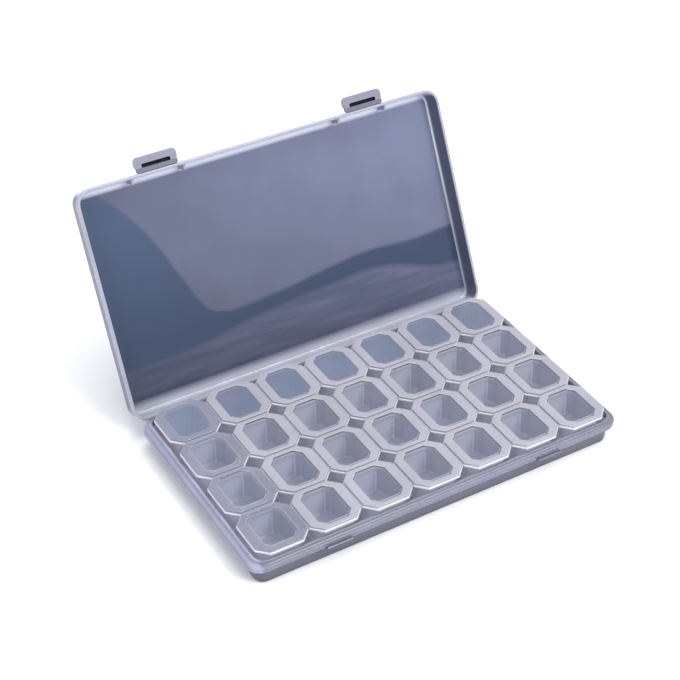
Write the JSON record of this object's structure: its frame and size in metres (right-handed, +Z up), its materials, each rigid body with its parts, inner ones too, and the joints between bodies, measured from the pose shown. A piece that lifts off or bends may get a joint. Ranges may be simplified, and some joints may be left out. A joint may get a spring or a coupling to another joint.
{
  "type": "parts sorting tray",
  "caption": "Flat clear sorting box: hinged main lid with slotted latch tabs over lift-out strips of small cups, each cup with its own hinged lid.",
  "frame": {"origin": "centre of the tray's flat underside", "axes": "+X along the long side, +Y towards the main hinge, +Z up out of the tray"},
  "size_m": [0.1736, 0.1559, 0.1033],
  "materials": {
    "tray_plastic": "clear, slightly milky, glossy",
    "lid_plastic": "clear, slightly milky, glossy",
    "cup_plastic": "clear, with frosted lid borders"
  },
  "bodies": {
    "tray": {"tray": "tray_plastic"},
    "lid": {"lid": "lid_plastic"},
    "latch_left": {"latch_left": "lid_plastic"},
    "latch_right": {"latch_right": "lid_plastic"},
    "strip_1": {"strip_1": "cup_plastic"},
    "strip_2": {"strip_2": "cup_plastic"},
    "strip_3": {"strip_3": "cup_plastic"},
    "strip_4": {"strip_4": "cup_plastic"},
    "strip_5": {"strip_5": "cup_plastic"},
    "strip_6": {"strip_6": "cup_plastic"},
    "strip_7": {"strip_7": "cup_plastic"},
    "cup_lid_1_1": {"cup_lid_1_1": "cup_plastic"},
    "cup_lid_1_2": {"cup_lid_1_2": "cup_plastic"},
    "cup_lid_1_3": {"cup_lid_1_3": "cup_plastic"},
    "cup_lid_1_4": {"cup_lid_1_4": "cup_plastic"},
    "cup_lid_2_1": {"cup_lid_2_1": "cup_plastic"},
    "cup_lid_2_2": {"cup_lid_2_2": "cup_plastic"},
    "cup_lid_2_3": {"cup_lid_2_3": "cup_plastic"},
    "cup_lid_2_4": {"cup_lid_2_4": "cup_plastic"},
    "cup_lid_3_1": {"cup_lid_3_1": "cup_plastic"},
    "cup_lid_3_2": {"cup_lid_3_2": "cup_plastic"},
    "cup_lid_3_3": {"cup_lid_3_3": "cup_plastic"},
    "cup_lid_3_4": {"cup_lid_3_4": "cup_plastic"},
    "cup_lid_4_1": {"cup_lid_4_1": "cup_plastic"},
    "cup_lid_4_2": {"cup_lid_4_2": "cup_plastic"},
    "cup_lid_4_3": {"cup_lid_4_3": "cup_plastic"},
    "cup_lid_4_4": {"cup_lid_4_4": "cup_plastic"},
    "cup_lid_5_1": {"cup_lid_5_1": "cup_plastic"},
    "cup_lid_5_2": {"cup_lid_5_2": "cup_plastic"},
    "cup_lid_5_3": {"cup_lid_5_3": "cup_plastic"},
    "cup_lid_5_4": {"cup_lid_5_4": "cup_plastic"},
    "cup_lid_6_1": {"cup_lid_6_1": "cup_plastic"},
    "cup_lid_6_2": {"cup_lid_6_2": "cup_plastic"},
    "cup_lid_6_3": {"cup_lid_6_3": "cup_plastic"},
    "cup_lid_6_4": {"cup_lid_6_4": "cup_plastic"},
    "cup_lid_7_1": {"cup_lid_7_1": "cup_plastic"},
    "cup_lid_7_2": {"cup_lid_7_2": "cup_plastic"},
    "cup_lid_7_3": {"cup_lid_7_3": "cup_plastic"},
    "cup_lid_7_4": {"cup_lid_7_4": "cup_plastic"}
  },
  "joints": [
    {"name": "lid_hinge", "type": "hinge", "parent": "tray", "child": "lid", "pos_m": [0, 0.05, 0.009], "axis": [-1, 0, 0], "range_deg": [-116.5, 18.5]},
    {"name": "latch_left_hinge", "type": "hinge", "parent": "lid", "child": "latch_left", "pos_m": [-0.0495, 0.09673, 0.0978], "axis": [-1, 0, 0], "range_deg": [-90, 45]},
    {"name": "latch_right_hinge", "type": "hinge", "parent": "lid", "child": "latch_right", "pos_m": [0.0495, 0.09673, 0.0978], "axis": [-1, 0, 0], "range_deg": [-90, 45]},
    {"name": "strip_1_lift", "type": "slide", "parent": "tray", "child": "strip_1", "axis": [0, 0, 1], "range_m": [0, 0.035]},
    {"name": "strip_2_lift", "type": "slide", "parent": "tray", "child": "strip_2", "axis": [0, 0, 1], "range_m": [0, 0.035]},
    {"name": "strip_3_lift", "type": "slide", "parent": "tray", "child": "strip_3", "axis": [0, 0, 1], "range_m": [0, 0.035]},
    {"name": "strip_4_lift", "type": "slide", "parent": "tray", "child": "strip_4", "axis": [0, 0, 1], "range_m": [0, 0.035]},
    {"name": "strip_5_lift", "type": "slide", "parent": "tray", "child": "strip_5", "axis": [0, 0, 1], "range_m": [0, 0.035]},
    {"name": "strip_6_lift", "type": "slide", "parent": "tray", "child": "strip_6", "axis": [0, 0, 1], "range_m": [0, 0.035]},
    {"name": "strip_7_lift", "type": "slide", "parent": "tray", "child": "strip_7", "axis": [0, 0, 1], "range_m": [0, 0.035]},
    {"name": "cup_lid_1_1_hinge", "type": "hinge", "parent": "strip_1", "child": "cup_lid_1_1", "pos_m": [-0.0594, 0.036, 0.0153], "axis": [0, 1, 0], "range_deg": [0, 100]},
    {"name": "cup_lid_1_2_hinge", "type": "hinge", "parent": "strip_1", "child": "cup_lid_1_2", "pos_m": [-0.0594, 0.012, 0.0153], "axis": [0, 1, 0], "range_deg": [0, 100]},
    {"name": "cup_lid_1_3_hinge", "type": "hinge", "parent": "strip_1", "child": "cup_lid_1_3", "pos_m": [-0.0594, -0.012, 0.0153], "axis": [0, 1, 0], "range_deg": [0, 100]},
    {"name": "cup_lid_1_4_hinge", "type": "hinge", "parent": "strip_1", "child": "cup_lid_1_4", "pos_m": [-0.0594, -0.036, 0.0153], "axis": [0, 1, 0], "range_deg": [0, 100]},
    {"name": "cup_lid_2_1_hinge", "type": "hinge", "parent": "strip_2", "child": "cup_lid_2_1", "pos_m": [-0.0358, 0.036, 0.0153], "axis": [0, 1, 0], "range_deg": [0, 100]},
    {"name": "cup_lid_2_2_hinge", "type": "hinge", "parent": "strip_2", "child": "cup_lid_2_2", "pos_m": [-0.0358, 0.012, 0.0153], "axis": [0, 1, 0], "range_deg": [0, 100]},
    {"name": "cup_lid_2_3_hinge", "type": "hinge", "parent": "strip_2", "child": "cup_lid_2_3", "pos_m": [-0.0358, -0.012, 0.0153], "axis": [0, 1, 0], "range_deg": [0, 100]},
    {"name": "cup_lid_2_4_hinge", "type": "hinge", "parent": "strip_2", "child": "cup_lid_2_4", "pos_m": [-0.0358, -0.036, 0.0153], "axis": [0, 1, 0], "range_deg": [0, 100]},
    {"name": "cup_lid_3_1_hinge", "type": "hinge", "parent": "strip_3", "child": "cup_lid_3_1", "pos_m": [-0.0122, 0.036, 0.0153], "axis": [0, 1, 0], "range_deg": [0, 100]},
    {"name": "cup_lid_3_2_hinge", "type": "hinge", "parent": "strip_3", "child": "cup_lid_3_2", "pos_m": [-0.0122, 0.012, 0.0153], "axis": [0, 1, 0], "range_deg": [0, 100]},
    {"name": "cup_lid_3_3_hinge", "type": "hinge", "parent": "strip_3", "child": "cup_lid_3_3", "pos_m": [-0.0122, -0.012, 0.0153], "axis": [0, 1, 0], "range_deg": [0, 100]},
    {"name": "cup_lid_3_4_hinge", "type": "hinge", "parent": "strip_3", "child": "cup_lid_3_4", "pos_m": [-0.0122, -0.036, 0.0153], "axis": [0, 1, 0], "range_deg": [0, 100]},
    {"name": "cup_lid_4_1_hinge", "type": "hinge", "parent": "strip_4", "child": "cup_lid_4_1", "pos_m": [0.0114, 0.036, 0.0153], "axis": [0, 1, 0], "range_deg": [0, 100]},
    {"name": "cup_lid_4_2_hinge", "type": "hinge", "parent": "strip_4", "child": "cup_lid_4_2", "pos_m": [0.0114, 0.012, 0.0153], "axis": [0, 1, 0], "range_deg": [0, 100]},
    {"name": "cup_lid_4_3_hinge", "type": "hinge", "parent": "strip_4", "child": "cup_lid_4_3", "pos_m": [0.0114, -0.012, 0.0153], "axis": [0, 1, 0], "range_deg": [0, 100]},
    {"name": "cup_lid_4_4_hinge", "type": "hinge", "parent": "strip_4", "child": "cup_lid_4_4", "pos_m": [0.0114, -0.036, 0.0153], "axis": [0, 1, 0], "range_deg": [0, 100]},
    {"name": "cup_lid_5_1_hinge", "type": "hinge", "parent": "strip_5", "child": "cup_lid_5_1", "pos_m": [0.035, 0.036, 0.0153], "axis": [0, 1, 0], "range_deg": [0, 100]},
    {"name": "cup_lid_5_2_hinge", "type": "hinge", "parent": "strip_5", "child": "cup_lid_5_2", "pos_m": [0.035, 0.012, 0.0153], "axis": [0, 1, 0], "range_deg": [0, 100]},
    {"name": "cup_lid_5_3_hinge", "type": "hinge", "parent": "strip_5", "child": "cup_lid_5_3", "pos_m": [0.035, -0.012, 0.0153], "axis": [0, 1, 0], "range_deg": [0, 100]},
    {"name": "cup_lid_5_4_hinge", "type": "hinge", "parent": "strip_5", "child": "cup_lid_5_4", "pos_m": [0.035, -0.036, 0.0153], "axis": [0, 1, 0], "range_deg": [0, 100]},
    {"name": "cup_lid_6_1_hinge", "type": "hinge", "parent": "strip_6", "child": "cup_lid_6_1", "pos_m": [0.0586, 0.036, 0.0153], "axis": [0, 1, 0], "range_deg": [0, 100]},
    {"name": "cup_lid_6_2_hinge", "type": "hinge", "parent": "strip_6", "child": "cup_lid_6_2", "pos_m": [0.0586, 0.012, 0.0153], "axis": [0, 1, 0], "range_deg": [0, 100]},
    {"name": "cup_lid_6_3_hinge", "type": "hinge", "parent": "strip_6", "child": "cup_lid_6_3", "pos_m": [0.0586, -0.012, 0.0153], "axis": [0, 1, 0], "range_deg": [0, 100]},
    {"name": "cup_lid_6_4_hinge", "type": "hinge", "parent": "strip_6", "child": "cup_lid_6_4", "pos_m": [0.0586, -0.036, 0.0153], "axis": [0, 1, 0], "range_deg": [0, 100]},
    {"name": "cup_lid_7_1_hinge", "type": "hinge", "parent": "strip_7", "child": "cup_lid_7_1", "pos_m": [0.0822, 0.036, 0.0153], "axis": [0, 1, 0], "range_deg": [0, 100]},
    {"name": "cup_lid_7_2_hinge", "type": "hinge", "parent": "strip_7", "child": "cup_lid_7_2", "pos_m": [0.0822, 0.012, 0.0153], "axis": [0, 1, 0], "range_deg": [0, 100]},
    {"name": "cup_lid_7_3_hinge", "type": "hinge", "parent": "strip_7", "child": "cup_lid_7_3", "pos_m": [0.0822, -0.012, 0.0153], "axis": [0, 1, 0], "range_deg": [0, 100]},
    {"name": "cup_lid_7_4_hinge", "type": "hinge", "parent": "strip_7", "child": "cup_lid_7_4", "pos_m": [0.0822, -0.036, 0.0153], "axis": [0, 1, 0], "range_deg": [0, 100]}
  ]
}
